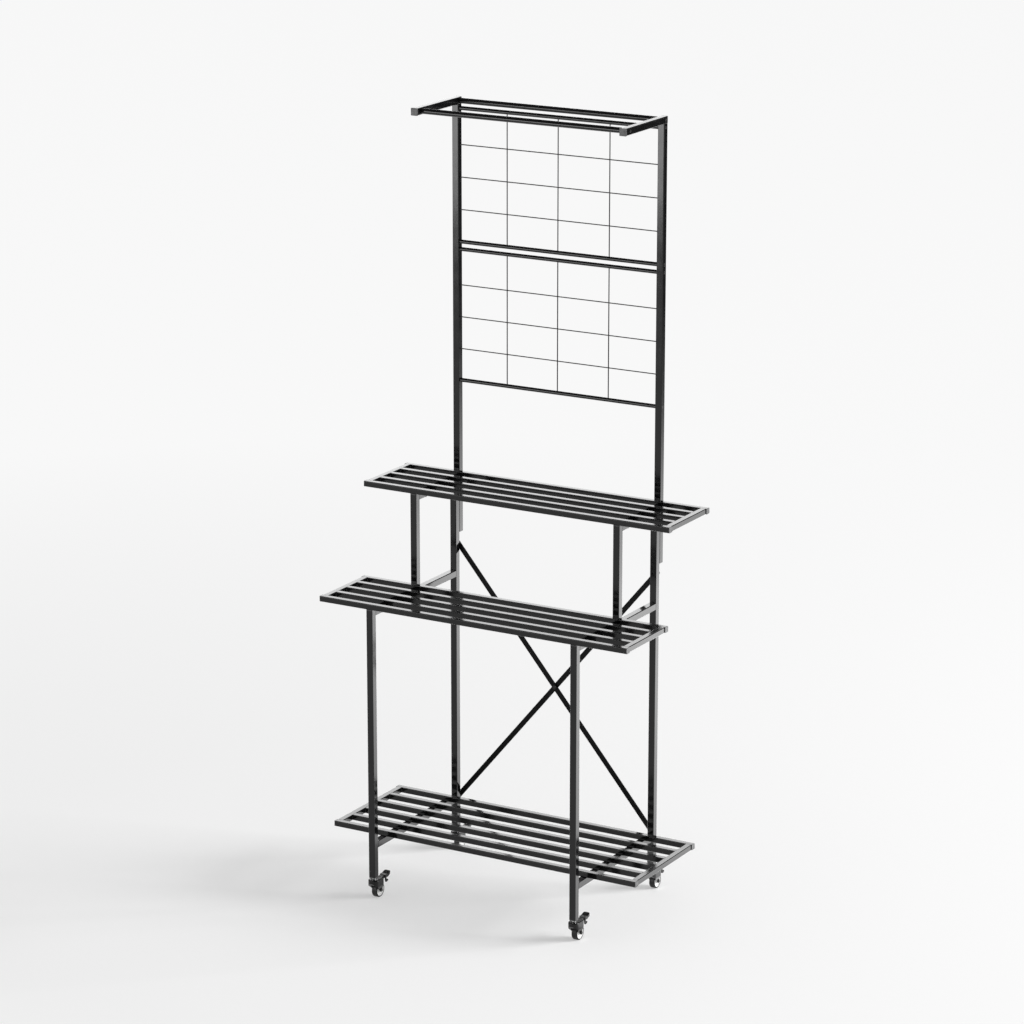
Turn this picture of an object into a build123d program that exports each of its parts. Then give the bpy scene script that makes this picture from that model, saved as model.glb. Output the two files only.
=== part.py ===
from build123d import *
import os

# Stepped plant stand on four braked castors.
# Two welded side frames carry three slatted shelves; two tall uprights behind them carry
# two wire grid panels and a pair of forward arms joined by two bars to hang planters from.
# Millimetres. +X runs along the shelves to the right, +Y to the rear, +Z up, floor at z = 0.
# The origin is the middle of the whole footprint, pedals of the castors included.

# Whole frame
arm_top = 1780
frame_width = 535
shelf_length = 780
step_depth = 190
bottom_shelf_inset = 49

# Heights of the shelf tops, and how far the uprights reach down behind the rear legs
bottom_shelf_top = 151
middle_shelf_top = 700
upper_shelf_top = 922
upright_lap = 134

# Square tube of legs, posts, side beams, uprights and arms
leg_tube = 16
leg_wall = 1.2
leg_corner = 1.6

# Flat tube of the shelves
slat_width = 14
slat_height = 13
slat_wall = 1
slat_corner = 1.5
slat_weld_sink = 0.5
bottom_shelf_bars = 6
upper_shelf_bars = 5

# Round bars between the two arms
rack_bar = 12.7
rack_wall = 1
front_bar_inset = 13.5

# Wire grid panels with round rails
grid_rail = 9.5
grid_rail_wall = 1
grid_wire = 2.5
grid_weld_sink = 0.2
rail_weld_sink = 0.5
grid_height = 302.8
grid_row = 73.7
grid_columns = 4
grid_rows = 4
grid_panel_gap = 7.65
grid_below_arm = 4
wire_socket_clearance = 0.25
wire_socket_depth = 3

# Flat cross braces on the rear faces of the lower legs
brace_width = 12
brace_thickness = 2.5
brace_low = 131
brace_below_upright = 23

# Plastic plugs and caps that close the tubes
plug_cap = 2
plug_depth = 10
plug_clearance = 0.1
arm_cap_lip = 0.5
slat_plug_cap = 1.5
slat_plug_depth = 8

# Screws
bolt_diameter = 5
bolt_clearance = 0.1
bolt_head = 9
bolt_head_height = 2.6
bolt_head_corner = 1.2
bolt_socket = 3
bolt_socket_depth = 1.5
bolt_bite = 7
screw_diameter = 4
screw_head = 7.4
screw_head_height = 2.2
screw_bite = 9

# Castor: swivel, wheel and brake
caster_height = 52
trail = 17.5
wheel_diameter = 34
wheel_width = 14
tyre_depth = 3
tyre_round = 2.2
hub_inset = 0.7
hub_dish = 1.8
hub_boss = 10
hub_rim = 2
hub_boss_gap = 0.4
wheel_gap = 1.8
wheel_side_gap = 0.8
axle_diameter = 5
axle_head = 7.5
axle_head_height = 1.4
running_clearance = 0.05

# Castor fork
hood_radius = 12.5
hood_gap = 5
hood_round = 2.2
hood_front_height = 8
hood_rear = 22
hood_rear_drop = 22
fork_foot_half = 9.3
fork_foot_radius = 4
fork_taper_top = 30
fork_taper_foot = 21.5

# Castor stem and the insert that holds it in the leg
stem_diameter = 8
stem_length = 20
stem_collar = 11
stem_head = 12
stem_head_height = 3
stem_roof = 5.5
swivel_play = 0.15
insert_flange = 2
insert_depth = 24

# Brake pedal, at rest in its raised position
pedal_pivot_y = 18
pedal_pivot_drop = 11
pedal_pin = 3
pedal_boss = 7.6
pedal_arm_width = 10
pedal_side_gap = 0.3
pedal_slot_front = 12.5
pedal_pad_width = 16
pedal_pad_corner = 4
pedal_reach = 60
pedal_pad_front = 36
pedal_rib = 0.6
pedal_rib_width = 1.1
pedal_ribs = 3
tab_width = 5
tab_thickness = 2.4
tab_drop = 28
tab_breadth = 3.5

# Overrun that lets a cut pass right through a face
overrun = 1

# Places that follow from the sizes above
leg_x = (frame_width - leg_tube) / 2
leg_spread = 2 * step_depth - leg_tube
front_leg_y = -(leg_spread + pedal_reach - hood_radius) / 2
rear_leg_y = front_leg_y + leg_spread
mid_post_y = front_leg_y + step_depth
upright_y = rear_leg_y + leg_tube
rear_face_y = rear_leg_y + leg_tube / 2
middle_y = (front_leg_y + rear_leg_y) / 2
bottom_shelf_depth = 2 * (step_depth - bottom_shelf_inset)
middle_shelf_y = middle_y - step_depth / 2
upper_shelf_y = middle_y + step_depth / 2
bottom_beam_top = bottom_shelf_top - slat_height
middle_beam_top = middle_shelf_top - slat_height
upper_beam_top = upper_shelf_top - slat_height
upright_foot = upper_beam_top - upright_lap
brace_high = upright_foot - brace_below_upright
arm_bottom = arm_top - leg_tube
arm_front_y = upright_y + leg_tube / 2 - step_depth
arm_middle_z = arm_top - leg_tube / 2
front_bar_y = arm_front_y + front_bar_inset + rack_bar / 2
inner_width = frame_width - 2 * leg_tube
axle_z = wheel_diameter / 2
upper_grid_top = arm_bottom - grid_below_arm - grid_rail / 2
lower_grid_top = upper_grid_top - grid_height - grid_rail - grid_panel_gap
sides = {"left": -1, "right": 1}


# Shared shapes
def post(size_x, size_y, height, wall, corner):
    """A rounded rectangular tube standing on the origin."""
    hollow = RectangleRounded(size_x, size_y, corner) - Rectangle(size_x - 2 * wall, size_y - 2 * wall)
    return extrude(hollow, height)


def rounded_post(size_x, size_y, height, corner):
    """A solid rounded rectangular bar standing on the origin."""
    return extrude(RectangleRounded(size_x, size_y, corner), height)


def box_at(size, centre):
    """A plain block given by its size and its centre."""
    return Pos(*centre) * Box(*size)


def rod(diameter, length, centre, axis):
    """A round bar of a given length centred on a point, along the X, Y or Z axis."""
    turns = {"x": Rot(0, 90, 0), "y": Rot(90, 0, 0), "z": Rot(0, 0, 0)}
    return Pos(*centre) * turns[axis] * Cylinder(diameter / 2, length)


def leg_post(height):
    """A piece of the leg tube, standing on the origin."""
    return post(leg_tube, leg_tube, height, leg_wall, leg_corner)


def side_beam(length):
    """A piece of the leg tube lying along Y, centred on the origin."""
    return Pos(0, length / 2, 0) * Rot(90, 0, 0) * leg_post(length)


def plug(size_x, size_y, wall, corner, cap, depth, lip=0):
    """A cap with a stub below it that fits inside a tube; the cap sits on z = 0."""
    gap = 2 * (wall + plug_clearance)
    stub = extrude(Rectangle(size_x - gap, size_y - gap), -depth)
    return rounded_post(size_x + 2 * lip, size_y + 2 * lip, cap, corner) + stub


def leg_plug(lip=0):
    return plug(leg_tube, leg_tube, leg_wall, leg_corner, plug_cap, plug_depth, lip)


def button_bolt(length):
    """A button-head socket bolt; its head sits on z = 0 and its shank runs down -Z."""
    head = extrude(Circle(bolt_head / 2), bolt_head_height)
    head = fillet(head.faces().sort_by(Axis.Z)[-1].edges(), bolt_head_corner)
    socket = extrude(RegularPolygon(bolt_socket / 2, 6, major_radius=False), bolt_socket_depth)
    shank = extrude(Circle(bolt_diameter / 2), -length)
    return head + shank - Pos(0, 0, bolt_head_height - bolt_socket_depth) * socket


def flush_screw(length):
    """A countersunk screw; its head is flush with z = 0 and its shank runs down -Z."""
    head = Pos(0, 0, -screw_head_height / 2) * Cone(screw_diameter / 2, screw_head / 2, screw_head_height)
    shank = extrude(Circle(screw_diameter / 2), -length)
    socket = extrude(RegularPolygon(screw_diameter / 4, 6, major_radius=False), -bolt_socket_depth)
    return head + shank - socket


# Where the bolts and screws go
def slat_places(depth, bars):
    """The Y places of the lengthwise bars of a shelf, from the front, about its middle."""
    pitch = (depth - slat_width) / (bars - 1)
    return [-(depth - slat_width) / 2 + i * pitch for i in range(bars)]


shelves = {
    "bottom_shelf": (middle_y, bottom_shelf_top, bottom_shelf_depth, bottom_shelf_bars),
    "middle_shelf": (middle_shelf_y, middle_shelf_top, step_depth, upper_shelf_bars),
    "upper_shelf": (upper_shelf_y, upper_shelf_top, step_depth, upper_shelf_bars),
}


def shelf_bolt_places(name):
    """The points under a shelf where its second and last but one bars cross the side beams."""
    y, top, depth, bars = shelves[name]
    rows = slat_places(depth, bars)
    return [(s * leg_x, y + rows[i], top - slat_height) for s in sides.values() for i in (1, -2)]


splice_heights = [upright_foot + leg_tube, upper_beam_top - leg_tube]
brace_holes = {
    "left": {"a": brace_high, "b": brace_low},
    "right": {"a": brace_low, "b": brace_high},
}
grid_rail_heights = [top - drop for top in (upper_grid_top, lower_grid_top) for drop in (0, grid_height)]
grid_wire_heights = [
    top - grid_height + row * grid_row
    for top in (upper_grid_top, lower_grid_top)
    for row in range(1, grid_rows)
]
wire_plane_y = upright_y - grid_wire + grid_weld_sink
wire_socket = grid_wire + 2 * wire_socket_clearance
bolt_hole = bolt_diameter + 2 * bolt_clearance
screw_hole = screw_diameter + 2 * bolt_clearance


# Side frames
def front_leg(side):
    bottom = caster_height + insert_flange
    leg = leg_post(middle_beam_top - plug_cap - bottom)
    return Pos(side * leg_x, front_leg_y, bottom) * leg


def rear_leg(side, name):
    bottom = caster_height + insert_flange
    leg = Pos(side * leg_x, rear_leg_y, bottom) * leg_post(upper_beam_top - plug_cap - bottom)
    reach = leg_tube
    for z in splice_heights + list(brace_holes[name].values()):
        leg -= rod(bolt_hole, reach, (side * leg_x, rear_face_y, z), "y")
    return leg


def mid_post(side):
    post_height = upper_beam_top - plug_cap - middle_beam_top
    return Pos(side * leg_x, mid_post_y, middle_beam_top) * leg_post(post_height)


def beam_between(side, front_y, rear_y, top, shelf_name):
    """A side beam butted between two legs, drilled for the bolts of the shelf on it."""
    length = rear_y - front_y - leg_tube
    middle_z = top - leg_tube / 2
    beam = Pos(side * leg_x, (front_y + rear_y) / 2, middle_z) * side_beam(length)
    for x, y, z in shelf_bolt_places(shelf_name):
        if x * side > 0:
            beam -= rod(bolt_hole, leg_tube + 2 * overrun, (x, y, middle_z), "z")
    return beam


def upright(side):
    tube = Pos(side * leg_x, upright_y, upright_foot + plug_cap)
    tube = tube * leg_post(arm_bottom - upright_foot - plug_cap)
    for z in splice_heights:
        tube -= rod(bolt_hole, leg_tube + 2 * overrun, (side * leg_x, upright_y, z), "y")
    for z in grid_rail_heights:
        tube -= screw_cut(side, upright_y, z)
    inner_face_x = side * (leg_x - leg_tube / 2)
    for z in grid_wire_heights:
        tube -= rod(wire_socket, 2 * wire_socket_depth, (inner_face_x, wire_plane_y, z), "x")
    return tube


def top_arm(side):
    length = step_depth - 2 * plug_cap
    arm = Pos(side * leg_x, arm_front_y + step_depth / 2, arm_middle_z) * side_beam(length)
    for y in (front_bar_y, upright_y):
        arm -= screw_cut(side, y, arm_middle_z)
    return arm


def screw_cut(side, y, z):
    """The hole of a flush screw that enters a tube from its outer side."""
    outer_x = side * (leg_x + leg_tube / 2)
    length = leg_tube + overrun
    hole = rod(screw_hole, 2 * length, (outer_x, y, z), "x")
    sink = Cone(screw_hole / 2, screw_head / 2 + bolt_clearance, screw_head_height)
    return hole + Pos(outer_x - side * screw_head_height / 2, y, z) * Rot(0, side * 90, 0) * sink


# Shelves
def shelf(name):
    """A welded tray: two full-length rails, an end bar on each side and bars between those."""
    y, top, depth, bars = shelves[name]
    rows = slat_places(depth, bars)
    middle_z = top - slat_height / 2
    rail_length = shelf_length - 2 * slat_plug_cap
    bar_length = rail_length - 2 * slat_width
    end_length = depth - 2 * slat_width
    end_x = (rail_length - slat_width) / 2
    bore_width = slat_width - 2 * slat_wall
    bore_height = slat_height - 2 * slat_wall
    solid = []
    hollow = []
    for row in rows:
        rail = row in (rows[0], rows[-1])
        length = rail_length if rail else bar_length + 2 * slat_weld_sink
        bar = Rot(0, 90, 0) * rounded_post(slat_height, slat_width, length, slat_corner)
        solid.append(Pos(-length / 2, y + row, middle_z) * bar)
        bore_length = rail_length if rail else bar_length
        hollow.append(box_at((bore_length, bore_width, bore_height), (0, y + row, middle_z)))
    for side in sides.values():
        length = end_length + 2 * slat_weld_sink
        bar = Rot(90, 0, 0) * rounded_post(slat_width, slat_height, length, slat_corner)
        solid.append(Pos(side * end_x, y + length / 2, middle_z) * bar)
        hollow.append(box_at((bore_width, end_length, bore_height), (side * end_x, y, middle_z)))
    tray = Part() + solid - hollow
    for x, bolt_y, z in shelf_bolt_places(name):
        tray -= rod(bolt_hole, 2 * slat_wall + overrun, (x, bolt_y, z), "z")
    return tray


def shelf_end_plugs():
    """Plugs in both ends of the front and rear rail of every shelf."""
    plugs = []
    for y, top, depth, bars in shelves.values():
        rows = slat_places(depth, bars)
        for side in sides.values():
            for row in (rows[0], rows[-1]):
                cap = plug(slat_height, slat_width, slat_wall, slat_corner, slat_plug_cap, slat_plug_depth)
                x = side * (shelf_length / 2 - slat_plug_cap)
                plugs.append(Pos(x, y + row, top - slat_height / 2) * Rot(0, side * 90, 0) * cap)
    return plugs


# Plugs of the square tubes
def leg_top_plugs():
    places = [
        (front_leg_y, middle_beam_top),
        (mid_post_y, upper_beam_top),
        (rear_leg_y, upper_beam_top),
    ]
    return [Pos(s * leg_x, y, z - plug_cap) * leg_plug() for s in sides.values() for y, z in places]


def upright_foot_plugs():
    turned = Rot(180, 0, 0) * leg_plug()
    return [Pos(s * leg_x, upright_y, upright_foot + plug_cap) * turned for s in sides.values()]


def arm_end_plugs():
    """Plugs of the arms; the front ones stand a little proud of the tube all round."""
    plugs = []
    for side in sides.values():
        front = Pos(side * leg_x, arm_front_y + plug_cap, arm_middle_z) * Rot(90, 0, 0)
        rear = Pos(side * leg_x, arm_front_y + step_depth - plug_cap, arm_middle_z) * Rot(-90, 0, 0)
        plugs.append(front * leg_plug(arm_cap_lip))
        plugs.append(rear * leg_plug() - screw_cut(side, upright_y, arm_middle_z))
    return plugs


# Top rack and grid panels
def cross_bar(diameter, wall, y, z):
    """A round tube from side to side, its ends plugged solid and drilled for the screws."""
    bore_length = inner_width - 2 * (screw_bite + overrun)
    bar = rod(diameter, inner_width, (0, y, z), "x")
    bar -= rod(diameter - 2 * wall, bore_length, (0, y, z), "x")
    for side in sides.values():
        bar -= rod(screw_hole, 2 * screw_bite, (side * inner_width / 2, y, z), "x")
    return bar


def grid_panel(top):
    """Two rails, the upright wires between them and the long wires welded to their front."""
    panel = Part()
    for z in (top, top - grid_height):
        panel += cross_bar(grid_rail, grid_rail_wall, upright_y, z)
    column = 2 * leg_x / grid_columns
    wire_length = grid_height - grid_rail + 2 * rail_weld_sink
    for i in range(1, grid_columns):
        centre = (-leg_x + i * column, upright_y, top - grid_height / 2)
        panel += rod(grid_wire, wire_length, centre, "z")
    long_wire = inner_width + wire_socket_depth
    for row in range(1, grid_rows):
        centre = (0, wire_plane_y, top - grid_height + row * grid_row)
        panel += rod(grid_wire, long_wire, centre, "x")
    return panel


# Cross braces
def brace_bar(name):
    """A flat bar with round ends from one upper hole to the opposite lower hole."""
    left_z = brace_holes["left"][name]
    right_z = brace_holes["right"][name]
    start = Vector(-leg_x, left_z)
    finish = Vector(leg_x, right_z)
    run = finish - start
    angle = Vector(1, 0).get_signed_angle(run, Vector(0, 0, 1))
    middle_z = (left_z + right_z) / 2
    outline = Rot(0, 0, angle) * SlotCenterToCenter(run.length, brace_width)
    for x, z in ((-leg_x, left_z - middle_z), (leg_x, right_z - middle_z), (0, 0)):
        outline -= Pos(x, z) * Circle(bolt_hole / 2)
    layer = rear_face_y + (brace_thickness if name == "b" else 0)
    standing = Plane(origin=(0, layer + brace_thickness, middle_z), x_dir=(1, 0, 0), z_dir=(0, -1, 0))
    return extrude(standing * outline, brace_thickness)


def brace_spacers():
    """Washers that carry the outer brace level with its centre."""
    ring = Circle(brace_width / 2) - Circle(bolt_hole / 2)
    washer = Rot(90, 0, 0) * extrude(ring, brace_thickness)
    places = [(side, brace_holes[name]["b"]) for name, side in sides.items()]
    return [Pos(side * leg_x, rear_face_y + brace_thickness, z) * washer for side, z in places]


# Fasteners
def shelf_bolts():
    """Bolts up through the side beams into the shelf bars."""
    bolt = Rot(180, 0, 0) * button_bolt(leg_tube + bolt_bite)
    places = [place for name in shelves for place in shelf_bolt_places(name)]
    return [Pos(x, y, z - leg_tube) * bolt for x, y, z in places]


def splice_bolts():
    """Bolts that clamp the uprights to the rear legs."""
    bolt = Rot(-90, 0, 0) * button_bolt(leg_tube + bolt_bite)
    face_y = upright_y + leg_tube / 2
    return [Pos(s * leg_x, face_y, z) * bolt for s in sides.values() for z in splice_heights]


def brace_bolts():
    """Bolts of the brace ends, and the centre bolt with its nut."""
    bolts = []
    for name, side in sides.items():
        for bar, z in brace_holes[name].items():
            stack = brace_thickness * (2 if bar == "b" else 1)
            bolt = Rot(-90, 0, 0) * button_bolt(stack + bolt_bite)
            bolts.append(Pos(side * leg_x, rear_face_y + stack, z) * bolt)
    centre_z = (brace_low + brace_high) / 2
    stack = 2 * brace_thickness
    centre = Rot(-90, 0, 0) * button_bolt(stack + bolt_head_height)
    bolts.append(Pos(0, rear_face_y + stack, centre_z) * centre)
    nut = RegularPolygon(bolt_head / 2, 6, major_radius=False) - Circle(bolt_diameter / 2)
    bolts.append(Pos(0, rear_face_y, centre_z) * Rot(90, 0, 0) * extrude(nut, bolt_head_height))
    return bolts


def frame_screws():
    """Flush screws from the outer faces into the rack bars and the grid rails."""
    screws = []
    places = [(y, arm_middle_z) for y in (front_bar_y, upright_y)]
    places += [(upright_y, z) for z in grid_rail_heights]
    for side in sides.values():
        for y, z in places:
            screw = Rot(0, side * 90, 0) * flush_screw(leg_tube + screw_bite)
            screws.append(Pos(side * (leg_x + leg_tube / 2), y, z) * screw)
    return screws


# Castor pieces, about the swivel axis, the wheel trailing to +Y
stem_hole = stem_diameter + 2 * running_clearance
hood_top = caster_height - hood_gap
pivot_z = caster_height - pedal_pivot_drop
stem_ledge = hood_top - stem_roof
wheel_slot = wheel_width + 2 * wheel_side_gap
slot_radius = wheel_diameter / 2 + wheel_gap


def side_view(*points):
    """A closed outline in the YZ plane."""
    return Plane.YZ * make_face(Polyline(*points, close=True))


def fork():
    """The moulded hood with its two cheeks, the wheel slot and the slot of the pedal."""
    front_low = (-hood_radius, hood_top - hood_front_height)
    rear_low = (hood_rear, hood_top - hood_rear_drop)
    outline = side_view(
        (-hood_radius, hood_top),
        (hood_rear, hood_top),
        rear_low,
        (trail + fork_foot_radius, axle_z),
        (trail - fork_foot_radius, axle_z - fork_foot_radius / 2),
        front_low,
    )
    cheeks = extrude(outline, hood_radius, both=True)
    cheeks += rod(2 * fork_foot_radius, 2 * hood_radius, (0, trail, axle_z), "x")
    plan = Circle(hood_radius) + Pos(0, hood_rear / 2) * Rectangle(2 * hood_radius, hood_rear)
    body = cheeks & extrude(plan, hood_top)
    top_edges = body.faces().sort_by(Axis.Z)[-1].edges()
    body = fillet(top_edges, hood_round)
    for side in sides.values():
        taper = Polyline(
            (side * (hood_radius + overrun), fork_taper_top + overrun),
            (side * hood_radius, fork_taper_top),
            (side * fork_foot_half, fork_taper_foot),
            (side * fork_foot_half, 0),
            (side * (hood_radius + overrun), 0),
            close=True,
        )
        body -= extrude(Plane.XZ * make_face(taper), 2 * pedal_reach, both=True)
    slot = rod(2 * slot_radius, wheel_slot, (0, trail, axle_z), "x")
    slot += box_at((wheel_slot, 2 * slot_radius, axle_z), (0, trail, axle_z / 2))
    body -= slot
    pedal_slot_width = pedal_arm_width + 2 * pedal_side_gap
    slot_length = hood_rear - pedal_slot_front + overrun
    slot_centre_y = pedal_slot_front + slot_length / 2
    slot_height = hood_top - axle_z + overrun
    size = (pedal_slot_width, slot_length, slot_height)
    body -= box_at(size, (0, slot_centre_y, axle_z + slot_height / 2))
    body -= rod(stem_hole, 2 * stem_roof + 2 * overrun, (0, 0, hood_top), "z")
    pocket = stem_ledge - axle_z
    body -= rod(stem_head + 2 * overrun, pocket, (0, 0, stem_ledge - pocket / 2), "z")
    body -= rod(axle_diameter, 2 * hood_radius, (0, trail, axle_z), "x")
    body -= rod(pedal_pin, 2 * hood_radius, (0, pedal_pivot_y, pivot_z), "x")
    return body


def tyre():
    ring = rod(wheel_diameter, wheel_width, (0, trail, axle_z), "x")
    ring = fillet(ring.edges().filter_by(GeomType.CIRCLE), tyre_round)
    return ring - rod(wheel_diameter - 2 * tyre_depth, wheel_width, (0, trail, axle_z), "x")


def hub():
    """A dished disc on both faces with a boss that runs on the axle."""
    diameter = wheel_diameter - 2 * tyre_depth
    width = wheel_width - 2 * hub_inset
    disc = rod(diameter, width, (0, trail, axle_z), "x")
    ring = Circle(diameter / 2 - hub_rim) - Circle(hub_boss / 2)
    for side in sides.values():
        floor_x = side * (width / 2 - hub_dish)
        disc -= Pos(floor_x, trail, axle_z) * Rot(0, side * 90, 0) * extrude(ring, hub_dish)
    boss_width = wheel_slot - 2 * hub_boss_gap
    disc += rod(hub_boss, boss_width, (0, trail, axle_z), "x")
    return disc - rod(axle_diameter + 2 * running_clearance, wheel_slot, (0, trail, axle_z), "x")


def pins():
    """The headed wheel axle and the plain pin of the brake pedal."""
    axle = rod(axle_diameter, 2 * fork_foot_half, (0, trail, axle_z), "x")
    for side in sides.values():
        head = rod(axle_head, axle_head_height, (0, trail, axle_z), "x")
        axle += Pos(side * (fork_foot_half + axle_head_height / 2), 0, 0) * head
    return [axle, rod(pedal_pin, 2 * hood_radius, (0, pedal_pivot_y, pivot_z), "x")]


def pedal():
    """A foot lever on the pedal pin, with a ribbed pad and a lifting tab under it."""
    pad_top = caster_height - hood_gap / 2
    pad_low = hood_top - pedal_boss
    boss_radius = pedal_boss / 2
    pad_length = pedal_reach - pedal_pad_front
    arm = side_view(
        (pedal_pivot_y, pivot_z + boss_radius),
        (pedal_pad_front, hood_top - tab_thickness / 2),
        (pedal_pad_front + tab_thickness, pad_low),
        (pedal_pivot_y + boss_radius + tab_width, pivot_z - boss_radius - tab_thickness / 2),
        (pedal_pivot_y, pivot_z - boss_radius),
    )
    lever = extrude(arm, pedal_arm_width / 2, both=True)
    lever += rod(pedal_boss, pedal_arm_width, (0, pedal_pivot_y, pivot_z), "x")
    pad_middle = pedal_pad_front + pad_length / 2
    pad = side_view(
        (pedal_pad_front, hood_top - tab_thickness / 4),
        (pad_middle, hood_top - tab_thickness / 2),
        (pedal_reach, pad_top),
        (pedal_reach, pad_top - tab_width),
        (pad_middle, pad_low),
        (pedal_pad_front, pad_low),
    )
    plan = Pos(0, pad_middle) * RectangleRounded(pedal_pad_width, pad_length, pedal_pad_corner)
    lever += extrude(pad, pedal_pad_width / 2, both=True) & extrude(plan, caster_height)
    rise = pad_top - hood_top + tab_thickness / 2
    for i in range(1, pedal_ribs + 1):
        share = i / (pedal_ribs + 1)
        y = pad_middle + share * pad_length / 2
        z = hood_top - tab_thickness / 2 + share * rise
        rib = (pedal_pad_width - 2 * pedal_pad_corner, pedal_rib_width, 2 * pedal_rib)
        lever += box_at(rib, (0, y, z))
    tab_low = caster_height - tab_drop
    tab_end = pad_middle + 2 * pedal_pad_corner
    tab = side_view(
        (pad_middle, pad_low + overrun),
        (pad_middle + tab_thickness, pad_low + overrun),
        (pad_middle + 2 * tab_thickness, tab_low + tab_thickness),
        (tab_end + tab_thickness, tab_low + 2 * tab_thickness),
        (tab_end + tab_thickness, tab_low + tab_thickness),
        (tab_end, tab_low),
        (pad_middle + tab_thickness, tab_low),
    )
    lever += extrude(tab, tab_breadth / 2, both=True)
    return lever - rod(pedal_pin + 2 * running_clearance, pedal_arm_width, (0, pedal_pivot_y, pivot_z), "x")


def stem():
    """The fixed pin that the fork turns on: thread, collar, shank and head."""
    collar_bottom = hood_top + swivel_play
    collar = Pos(0, 0, collar_bottom) * extrude(Circle(stem_collar / 2), caster_height - collar_bottom)
    head_top = stem_ledge - running_clearance
    shank = Pos(0, 0, head_top) * extrude(Circle(stem_diameter / 2), caster_height + stem_length - head_top)
    head = Pos(0, 0, head_top) * extrude(Circle(stem_head / 2), -stem_head_height)
    return collar + shank + head


def leg_insert():
    """The plastic insert in the foot of a leg, with the threaded hole of the stem."""
    turned = plug(leg_tube, leg_tube, leg_wall, leg_corner, insert_flange, insert_depth)
    turned = Pos(0, 0, caster_height + insert_flange) * Rot(180, 0, 0) * turned
    return turned - rod(stem_diameter, 2 * stem_length, (0, 0, caster_height), "z")


casters = {
    "front_left": (-leg_x, front_leg_y),
    "front_right": (leg_x, front_leg_y),
    "rear_left": (-leg_x, rear_leg_y),
    "rear_right": (leg_x, rear_leg_y),
}


# Output, one file per named piece or group of like pieces
def save(name, shapes):
    solids = shapes if isinstance(shapes, list) else [shapes]
    export_step(Compound([solid for shape in solids for solid in shape.solids()]), f"parts/{name}.step")


os.makedirs("parts", exist_ok=True)
for side_name, side in sides.items():
    save(f"front_leg_{side_name}", front_leg(side))
    save(f"rear_leg_{side_name}", rear_leg(side, side_name))
    save(f"mid_post_{side_name}", mid_post(side))
    ends = (front_leg_y, rear_leg_y)
    save(f"bottom_beam_{side_name}", beam_between(side, *ends, bottom_beam_top, "bottom_shelf"))
    save(f"middle_beam_{side_name}", beam_between(side, *ends, middle_beam_top, "middle_shelf"))
    ends = (mid_post_y, rear_leg_y)
    save(f"upper_beam_{side_name}", beam_between(side, *ends, upper_beam_top, "upper_shelf"))
    save(f"upright_{side_name}", upright(side))
    save(f"top_arm_{side_name}", top_arm(side))
for shelf_name in shelves:
    save(shelf_name, shelf(shelf_name))
save("shelf_end_plugs", shelf_end_plugs())
save("leg_top_plugs", leg_top_plugs())
save("upright_foot_plugs", upright_foot_plugs())
save("arm_end_plugs", arm_end_plugs())
save("rack_bar_front", cross_bar(rack_bar, rack_wall, front_bar_y, arm_middle_z))
save("rack_bar_rear", cross_bar(rack_bar, rack_wall, upright_y, arm_middle_z))
save("grid_panel_upper", grid_panel(upper_grid_top))
save("grid_panel_lower", grid_panel(lower_grid_top))
save("brace_bar_a", brace_bar("a"))
save("brace_bar_b", brace_bar("b"))
save("brace_spacers", brace_spacers())
save("brace_bolts", brace_bolts())
save("shelf_bolts", shelf_bolts())
save("splice_bolts", splice_bolts())
save("frame_screws", frame_screws())
save("caster_stems", [Pos(x, y, 0) * stem() for x, y in casters.values()])
save("leg_inserts", [Pos(x, y, 0) * leg_insert() for x, y in casters.values()])
for caster_name, (x, y) in casters.items():
    here = Pos(x, y, 0)
    save(f"{caster_name}_fork", here * fork())
    save(f"{caster_name}_tyre", here * tyre())
    save(f"{caster_name}_hub", here * hub())
    save(f"{caster_name}_pins", [here * pin for pin in pins()])
    save(f"{caster_name}_pedal", here * pedal())
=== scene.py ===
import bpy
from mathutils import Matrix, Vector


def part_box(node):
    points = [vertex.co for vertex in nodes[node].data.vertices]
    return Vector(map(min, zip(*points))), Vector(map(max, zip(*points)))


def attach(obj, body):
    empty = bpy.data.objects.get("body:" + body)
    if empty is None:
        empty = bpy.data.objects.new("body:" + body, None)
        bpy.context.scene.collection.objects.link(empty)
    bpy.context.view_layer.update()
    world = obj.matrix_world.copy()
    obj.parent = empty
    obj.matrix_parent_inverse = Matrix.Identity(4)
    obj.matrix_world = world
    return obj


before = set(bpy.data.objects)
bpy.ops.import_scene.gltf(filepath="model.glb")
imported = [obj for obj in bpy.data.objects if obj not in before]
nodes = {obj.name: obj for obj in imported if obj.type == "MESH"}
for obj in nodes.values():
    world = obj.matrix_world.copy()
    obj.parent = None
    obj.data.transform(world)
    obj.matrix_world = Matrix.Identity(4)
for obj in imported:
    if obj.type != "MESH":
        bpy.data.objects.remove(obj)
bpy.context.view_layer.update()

import math

import bmesh
import bpy
from mathutils import Matrix, Vector

# Everything is in metres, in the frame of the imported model

scene = bpy.context.scene
axis_x, axis_y, up = Vector((1, 0, 0)), Vector((0, 1, 0)), Vector((0, 0, 1))


# Camera, placed from the front of the front legs

front_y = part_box("front_leg_left")[0][1]
camera_right = 4.0536
camera_before_front = 6.8305
camera_height = 3.1590
camera_pitch_down = 15.55
camera_turn = 30.02
camera_lens = 133.66
sensor_width = 36
camera_reach = 300

camera_data = bpy.data.cameras.new("camera")
camera_data.lens = camera_lens
camera_data.sensor_width = sensor_width
camera_data.clip_end = camera_reach
camera = bpy.data.objects.new("camera", camera_data)
camera.location = (camera_right, front_y - camera_before_front, camera_height)
camera.rotation_euler = (math.radians(90 - camera_pitch_down), 0, math.radians(camera_turn))
scene.collection.objects.link(camera)
scene.camera = camera


# Shader nodes

patch_detail = 3.0
grain_detail = 2.0
gloss_patch_ratio = 2.3


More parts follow.
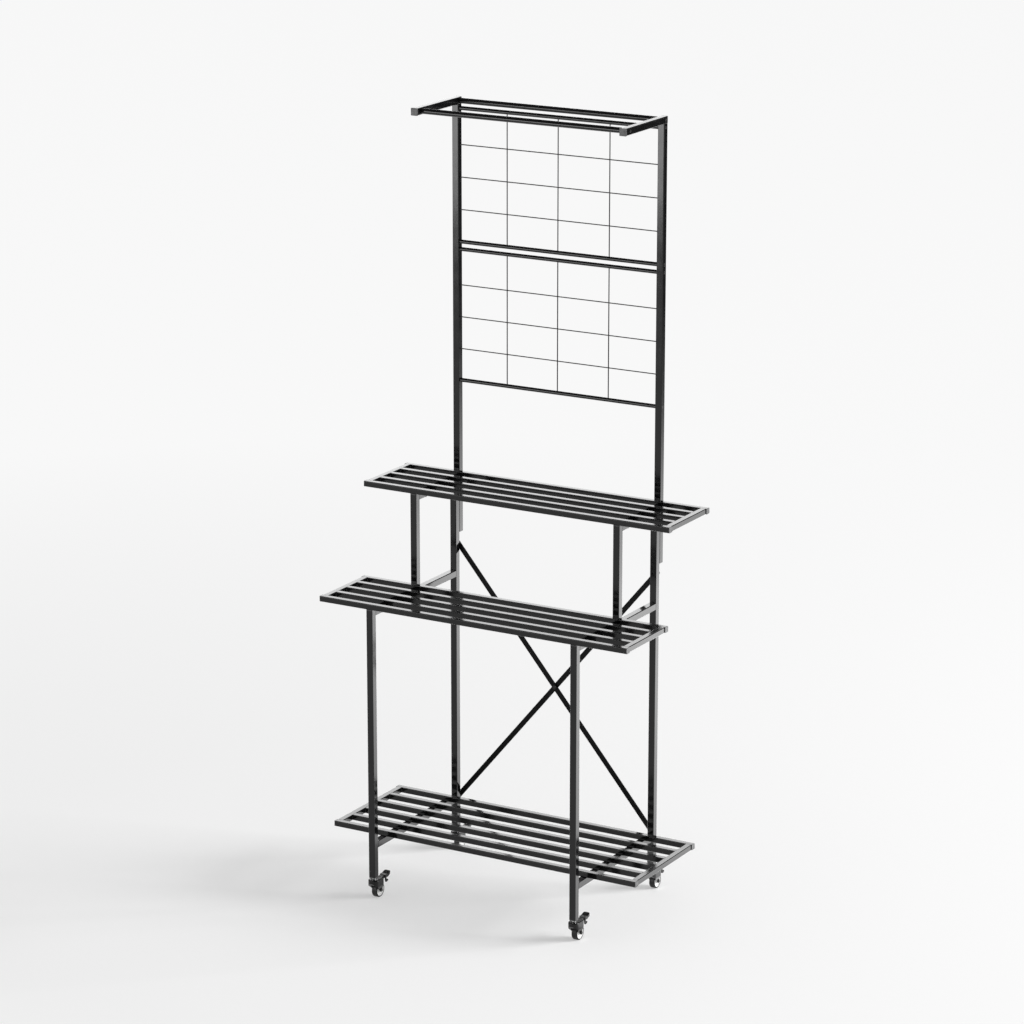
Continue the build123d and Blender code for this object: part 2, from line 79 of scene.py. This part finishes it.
def add_node(tree, kind, settings, sockets):
    """A node with its settings; a socket's value is a number, a colour or another socket."""
    made = tree.nodes.new(kind)
    for key, value in settings.items():
        setattr(made, key, value)
    for key, value in sockets.items():
        if isinstance(value, bpy.types.NodeSocket):
            tree.links.new(value, made.inputs[key])
        else:
            made.inputs[key].default_value = value
    return made


def new_material(name):
    """A material whose tree holds an output alone; returns it, its tree and the output's surface."""
    material = bpy.data.materials.new(name)
    material.use_nodes = True
    tree = material.node_tree
    tree.nodes.clear()
    output = tree.nodes.new("ShaderNodeOutputMaterial")
    return material, tree, output.inputs["Surface"]


def place_of(tree):
    """The rest place of the surface point, which turns with the piece."""
    return tree.nodes.new("ShaderNodeTexCoord").outputs["Object"]


def noise(tree, scale, detail):
    """Noise with about that many waves in a metre."""
    sockets = {"Vector": place_of(tree), "Scale": scale, "Detail": detail}
    return add_node(tree, "ShaderNodeTexNoise", {}, sockets).outputs["Fac"]


def ranged(tree, value, low, high, start=0.35, end=0.65):
    """The value's stretch from start to end, spread over low to high."""
    sockets = {"Value": value, "From Min": start, "From Max": end, "To Min": low, "To Max": high}
    return add_node(tree, "ShaderNodeMapRange", {"clamp": True}, sockets).outputs["Result"]


def calculated(tree, operation, *values):
    """The result of a math node."""
    sockets = dict(enumerate(values))
    return add_node(tree, "ShaderNodeMath", {"operation": operation}, sockets).outputs[0]


def blended(tree, factor, first, second):
    """A colour between the two, by the factor."""
    made = add_node(tree, "ShaderNodeMix", {"data_type": "RGBA"}, {"Factor": factor})
    ends = [socket for socket in made.inputs if socket.type == "RGBA"]
    for socket, colour in zip(ends, (first, second)):
        socket.default_value = (*colour, 1)
    return next(socket for socket in made.outputs if socket.type == "RGBA")


def grey(level):
    """A grey with full alpha."""
    return (level, level, level, 1)


# Finishes of the record's material slots

def surface(name, dark, light, patch, roughness, grain, depth, metal=0.0, ior=1.5):
    """A plain finish: colour and gloss vary over patches, and a fine grain shows in the gloss.

    Patch and grain are in waves to a metre, and depth is the grain's, in metres."""
    material, tree, shown = new_material(name)
    shader = add_node(tree, "ShaderNodeBsdfPrincipled", {}, {"Metallic": metal, "IOR": ior})
    tree.links.new(shader.outputs["BSDF"], shown)
    colour = blended(tree, ranged(tree, noise(tree, patch, patch_detail), 0, 1), dark, light)
    gloss = ranged(tree, noise(tree, patch * gloss_patch_ratio, patch_detail), *roughness)
    bump = add_node(
        tree, "ShaderNodeBump", {},
        {"Height": noise(tree, grain, grain_detail), "Distance": depth, "Strength": 1.0},
    )
    tree.links.new(colour, shader.inputs["Base Color"])
    tree.links.new(gloss, shader.inputs["Roughness"])
    tree.links.new(bump.outputs["Normal"], shader.inputs["Normal"])
    return material


materials = {
    "frame_paint": surface(
        "black_stove_enamel",
        dark=(0.002, 0.002, 0.0022), light=(0.004, 0.004, 0.0042), patch=14,
        roughness=(0.09, 0.15), grain=300, depth=0.00002, ior=1.42,
    ),
    "plug_plastic": surface(
        "black_plug_plastic",
        dark=(0.03, 0.03, 0.031), light=(0.042, 0.042, 0.043), patch=60,
        roughness=(0.34, 0.46), grain=2600, depth=0.00003,
    ),
    "black_steel": surface(
        "blackened_screw_steel",
        dark=(0.012, 0.012, 0.0125), light=(0.03, 0.029, 0.028), patch=260,
        roughness=(0.28, 0.42), grain=1800, depth=0.00002, metal=0.6,
    ),
    "zinc_steel": surface(
        "bright_zinc",
        dark=(0.34, 0.345, 0.35), light=(0.46, 0.46, 0.455), patch=180,
        roughness=(0.16, 0.3), grain=1500, depth=0.00002, metal=1.0,
    ),
    "caster_plastic": surface(
        "black_nylon",
        dark=(0.003, 0.003, 0.0032), light=(0.006, 0.006, 0.0062), patch=90,
        roughness=(0.2, 0.3), grain=1900, depth=0.00003, ior=1.36,
    ),
    "pedal_plastic": surface(
        "black_pedal_nylon",
        dark=(0.003, 0.003, 0.0032), light=(0.006, 0.006, 0.0062), patch=90,
        roughness=(0.26, 0.38), grain=2200, depth=0.00004, ior=1.36,
    ),
    "tyre_rubber": surface(
        "black_rubber",
        dark=(0.006, 0.006, 0.0062), light=(0.012, 0.012, 0.012), patch=120,
        roughness=(0.42, 0.6), grain=1600, depth=0.00005, ior=1.4,
    ),
    "hub_plastic": surface(
        "white_hub_plastic",
        dark=(0.73, 0.73, 0.725), light=(0.79, 0.79, 0.785), patch=70,
        roughness=(0.3, 0.42), grain=2000, depth=0.00002,
    ),
}

# The cross braces are about as black as the frame, and duller
brace_paint = surface(
    "black_matt_enamel",
    dark=(0.002, 0.002, 0.0022), light=(0.005, 0.005, 0.0052), patch=40,
    roughness=(0.3, 0.42), grain=900, depth=0.00003, ior=1.2,
)
for name, node in nodes.items():
    for slot in node.material_slots:
        slot_name = slot.material.name.split(".")[0]
        slot.material = brace_paint if name.startswith("brace_bar") else materials[slot_name]


# Weld seams in the inner corners where the bars of the frame meet

sides = ("left", "right")
bar_corner = 0.0016
slat_width = 0.014
shelf_bars = {"bottom_shelf": 6, "middle_shelf": 5, "upper_shelf": 5}

# How far a bead reaches out of its corner, and the distance between its sections
seam_size = 0.0013
shelf_seam_size = 0.0010
seam_step = 0.0005

# Points of a bead's section, as shares of its size, out of the corner both ways
seam_sink_share = 0.15
seam_profile_shares = [
    (-seam_sink_share, -seam_sink_share), (1, -seam_sink_share), (1, 0.06), (0.85, 0.33),
    (0.59, 0.59), (0.33, 0.85), (0.06, 1), (-seam_sink_share, 1),
]

# At its ends a bead has this share of its size, and it grows by one size in seam_taper_sizes
seam_end_share = 0.35
seam_taper_sizes = 1.5

# A bead swells and thins by these shares in two ripples, which start elsewhere on each bead
ripple_pitch = 0.0016
ripple_share = 0.07
slow_ripple_pitch = 3.7 * ripple_pitch
slow_ripple_share = 0.06
slow_ripple_turn = 2.1

# The corners of each side beam that hold a seam, as the ways out of the corner along Y and Z
beam_corners = {
    "bottom_beam": ((1, 1), (1, -1), (-1, 1), (-1, -1)),
    "middle_beam": ((1, -1), (-1, 1), (-1, -1)),
    "upper_beam": ((1, -1), (-1, -1)),
}


def tube_seam(tube, y, z, out_y, out_z):
    """A seam from side to side of a tube: middle, direction, length, two ways out and size."""
    low, high = tube
    middle = Vector(((low.x + high.x) / 2, y, z))
    length = high.x - low.x - 2 * bar_corner
    return middle, axis_x, length, axis_y * out_y, up * out_z, seam_size


def tube_seams():
    """The seams of the side beams, of the mid posts' feet and of the uprights' tops."""
    seams = []
    for side in sides:
        for name, corners in beam_corners.items():
            low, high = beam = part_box(f"{name}_{side}")
            for out_y, out_z in corners:
                y = low.y if out_y > 0 else high.y
                z = high.z if out_z > 0 else low.z
                seams.append(tube_seam(beam, y, z, out_y, out_z))
        low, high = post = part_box(f"mid_post_{side}")
        seams.append(tube_seam(post, high.y, low.z, 1, 1))
        low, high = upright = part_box(f"upright_{side}")
        seams.append(tube_seam(upright, low.y, high.z, -1, -1))
    return seams


def shelf_seams():
    """The upright seams inside the shelves, where each bar meets the two end bars."""
    seams = []
    for name, bars in shelf_bars.items():
        low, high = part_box(name)
        pitch = (high.y - low.y - slat_width) / (bars - 1)
        middle_z = (low.z + high.z) / 2
        length = high.z - low.z - 2 * bar_corner
        for i in range(bars):
            row = low.y + slat_width / 2 + i * pitch
            for out_y in (-1, 1):
                if (i, out_y) in ((0, -1), (bars - 1, 1)):
                    continue
                y = row + out_y * slat_width / 2
                for end in (-1, 1):
                    middle = Vector(((high.x - slat_width) * end, y, middle_z))
                    seams.append((middle, up, length, -axis_x * end, axis_y * out_y, shelf_seam_size))
    return seams


def bead_rings(number, middle, along, length, out_a, out_b, size):
    """The sections of one bead, which ripples along its run and thins out at its ends."""
    rings = []
    steps = int(length / seam_step)
    for i in range(steps + 1):
        travel = length * i / steps
        from_end = min(travel, length - travel)
        taper = min(1.0, seam_end_share + from_end / (seam_taper_sizes * size))
        phase = 2 * math.pi * travel
        ripple = 1 + ripple_share * math.sin(phase / ripple_pitch + number)
        ripple += slow_ripple_share * math.sin(phase / slow_ripple_pitch + slow_ripple_turn * number)
        reach = size * taper * ripple
        centre = middle + along * (travel - length / 2)
        rings.append([
            tuple(centre + out_a * (a * reach) + out_b * (b * reach)) for a, b in seam_profile_shares
        ])
    return rings


def weld_seams():
    """One mesh of all the seams."""
    points, faces = [], []
    count = len(seam_profile_shares)
    for number, seam in enumerate(tube_seams() + shelf_seams()):
        rings = bead_rings(number, *seam)
        first = len(points)
        last = first + (len(rings) - 1) * count
        points += [point for ring in rings for point in ring]
        for ring in range(first, last, count):
            for j in range(count):
                k = (j + 1) % count
                faces.append((ring + j, ring + k, ring + count + k, ring + count + j))
        faces.append(tuple(first + j for j in reversed(range(count))))
        faces.append(tuple(last + j for j in range(count)))
    mesh = bpy.data.meshes.new("weld_seams")
    mesh.from_pydata(points, [], faces)
    shaped = bmesh.new()
    shaped.from_mesh(mesh)
    bmesh.ops.recalc_face_normals(shaped, faces=shaped.faces)
    shaped.to_mesh(mesh)
    shaped.free()
    for face in mesh.polygons:
        face.use_smooth = len(face.vertices) == 4
    seams = bpy.data.objects.new("weld_seams", mesh)
    scene.collection.objects.link(seams)
    mesh.materials.append(materials["frame_paint"])
    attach(seams, "frame")


weld_seams()


# Floor: the eye and the gloss see a plain colour mixed into its shade, which keeps the shadow

floor_reach = 90
floor_plain = 0.945
floor_shade = 0.95

# The plain colour's share, near the stand and far from it
plain_near_share = 0.38
plain_far_share = 0.97
near_radius = 1.0
far_radius = 4.0
floor_focus = (-0.3, 0, 0)


def flat_sheet(name, corners, material):
    """A sheet of one face."""
    mesh = bpy.data.meshes.new(name)
    mesh.from_pydata([tuple(corner) for corner in corners], [], [(0, 1, 2, 3)])
    mesh.materials.append(material)
    sheet = bpy.data.objects.new(name, mesh)
    scene.collection.objects.link(sheet)
    return sheet


def mixed_shader(tree, shown, factor, first, second):
    """Two shaders mixed by the factor, shown on the surface."""
    sockets = {0: factor, 1: first.outputs[0], 2: second.outputs[0]}
    mix = add_node(tree, "ShaderNodeMixShader", {}, sockets)
    tree.links.new(mix.outputs[0], shown)


def floor_finish():
    """The pale floor's material."""
    material, tree, shown = new_material("pale_floor")
    shade = add_node(tree, "ShaderNodeBsdfDiffuse", {}, {"Color": grey(floor_shade)})
    plain = add_node(tree, "ShaderNodeEmission", {}, {"Color": grey(floor_plain), "Strength": 1.0})
    rays = tree.nodes.new("ShaderNodeLightPath")
    seen = rays.outputs["Is Camera Ray"]
    for kind in ("Is Glossy Ray", "Is Transmission Ray"):
        seen = calculated(tree, "MAXIMUM", seen, rays.outputs[kind])
    distance = add_node(
        tree, "ShaderNodeVectorMath", {"operation": "DISTANCE"}, {0: place_of(tree), 1: floor_focus}
    ).outputs["Value"]
    share = ranged(tree, distance, plain_near_share, plain_far_share, near_radius, far_radius)
    mixed_shader(tree, shown, calculated(tree, "MULTIPLY", seen, share), shade, plain)
    return material


floor_corners = [
    (x * floor_reach, y * floor_reach, 0) for x, y in ((-1, -1), (1, -1), (1, 1), (-1, 1))
]
floor = flat_sheet("floor", floor_corners, floor_finish())


# World: even light, dimmer where the gloss mirrors it

world_level = 0.46
gloss_level = 0.15

world = bpy.data.worlds.new("studio")
scene.world = world
world.use_nodes = True
tree = world.node_tree
background = tree.nodes["Background"]
background.inputs["Color"].default_value = grey(1)
glossy = tree.nodes.new("ShaderNodeLightPath").outputs["Is Glossy Ray"]
level = calculated(tree, "MULTIPLY_ADD", glossy, gloss_level - world_level, world_level)
tree.links.new(level, background.inputs["Strength"])


# Level directions: the view's right and what lies behind the stand in it, and where the right
# faces and the front faces of the stand mirror the view to

turn = math.radians(camera_turn)
view_right = Vector((math.cos(turn), math.sin(turn), 0))
view_back = up.cross(view_right)
mirrored_right = Vector((-view_back.x, view_back.y, 0))
mirrored_front = Vector((view_back.x, -view_back.y, 0))


# Lamps: a key lamp from the right lights the stand, and three softboxes show in its gloss alone

# Where a new stop of a ramp is made, before it goes to its own place
spare_place = 0.5


def shade_along(data, ramp):
    """Shades a lamp along its length; the ramp holds places with their shares of the radiance."""
    data.use_nodes = True
    tree = data.node_tree
    parametric = tree.nodes.new("ShaderNodeNewGeometry").outputs["Parametric"]
    along = add_node(tree, "ShaderNodeSeparateXYZ", {}, {0: parametric}).outputs[1]
    shades = add_node(tree, "ShaderNodeValToRGB", {}, {"Fac": along})
    stops = shades.color_ramp.elements
    while len(stops) < len(ramp):
        stops.new(spare_place)
    for stop, (place, share) in zip(stops, ramp):
        stop.position = place
        stop.color = grey(share)
    tree.links.new(shades.outputs["Color"], tree.nodes["Emission"].inputs["Color"])


def softbox(name, centre, towards, length_way, width, length, radiance, gloss_only=True, ramp=None):
    """A rectangular lamp that shines towards a direction."""
    data = bpy.data.lights.new(name, "AREA")
    data.shape = "RECTANGLE"
    data.size = width
    data.size_y = length
    data.energy = radiance * math.pi * width * length
    if ramp:
        shade_along(data, ramp)
    lamp = bpy.data.objects.new(name, data)
    backwards = -Vector(towards).normalized()
    along = (length_way - length_way.dot(backwards) * backwards).normalized()
    lamp.matrix_world = Matrix((along.cross(backwards), along, backwards)).transposed().to_4x4()
    lamp.location = centre
    lamp.visible_camera = False
    lamp.visible_diffuse = not gloss_only
    scene.collection.objects.link(lamp)


key_distance = 14.0
key_height = 5.0
key_aim_height = 0.2
key_place = view_right * key_distance + up * key_height
softbox(
    "key_lamp", key_place, up * key_aim_height - key_place, up,
    width=6.0, length=4.8, radiance=35.0, gloss_only=False,
)

# Behind the stand, for the tops of the bars
back_distance = 4.0
back_height = 2.1
back_ramp = [(0.0, 1.0), (0.36, 1.0), (0.48, 0.86), (0.6, 0.8), (0.75, 0.42), (1.0, 0.34)]
softbox(
    "back_softbox", view_back * back_distance + up * back_height, -view_back, up,
    width=3.4, length=2.0, radiance=3.1, ramp=back_ramp,
)

# Left of the camera, for the front faces
left_distance = 5.0
left_height = 1.45
softbox(
    "left_softbox", mirrored_front * left_distance + up * left_height, -mirrored_front, up,
    width=3.0, length=1.8, radiance=5.6,
)

# Low over the floor, from the stand away to the right and back, for the right faces
low_length = 6.6
low_height = 0.02
low_ramp = [
    (0.0, 0.27), (0.09, 0.44), (0.21, 0.66), (0.35, 0.82), (0.386, 0.87), (0.44, 0.61),
    (0.515, 0.49), (0.555, 0.475), (0.6, 0.39), (0.644, 0.33), (0.686, 0.21), (0.727, 0.122),
    (0.773, 0.073), (0.833, 0.037), (0.91, 0.02), (1.0, 0.0),
]
softbox(
    "low_softbox", mirrored_right * (low_length / 2) + up * low_height, up, mirrored_right,
    width=3.2, length=low_length, radiance=4.1, ramp=low_ramp,
)


# Dark card: a painted dark reflection, a sheet with a faint glow that lies on the floor under the far
# half of the low softbox, and only gloss meets it

card_start = 3.3
card_full = 4.2
card_end = 16.0
card_width = 6.0
card_height = 0.01
# The glow of the card, seen in gloss alone, is painted reflection
card_level = 0.05


def card_finish():
    """The card's material, clear at its near end and a faint dark glow from card_full on, which
    paints a dark reflection in the stand's gloss.
    """
    material, tree, shown = new_material("dark_card")
    clear = tree.nodes.new("ShaderNodeBsdfTransparent")
    dark = add_node(tree, "ShaderNodeEmission", {}, {"Color": grey(1), "Strength": card_level})
    distance = add_node(
        tree, "ShaderNodeVectorMath", {"operation": "LENGTH"}, {0: place_of(tree)}
    ).outputs["Value"]
    mixed_shader(tree, shown, ranged(tree, distance, 0, 1, card_start, card_full), clear, dark)
    return material


card_across = mirrored_right.cross(up) * (card_width / 2)
card_corners = [
    mirrored_right * along + card_across * side + up * card_height
    for along, side in ((card_start, -1), (card_start, 1), (card_end, 1), (card_end, -1))
]
card = flat_sheet("dark_card", card_corners, card_finish())
card.visible_camera = False
card.visible_diffuse = False
card.visible_shadow = False


# What the render shows

scene.view_settings.view_transform = "Standard"
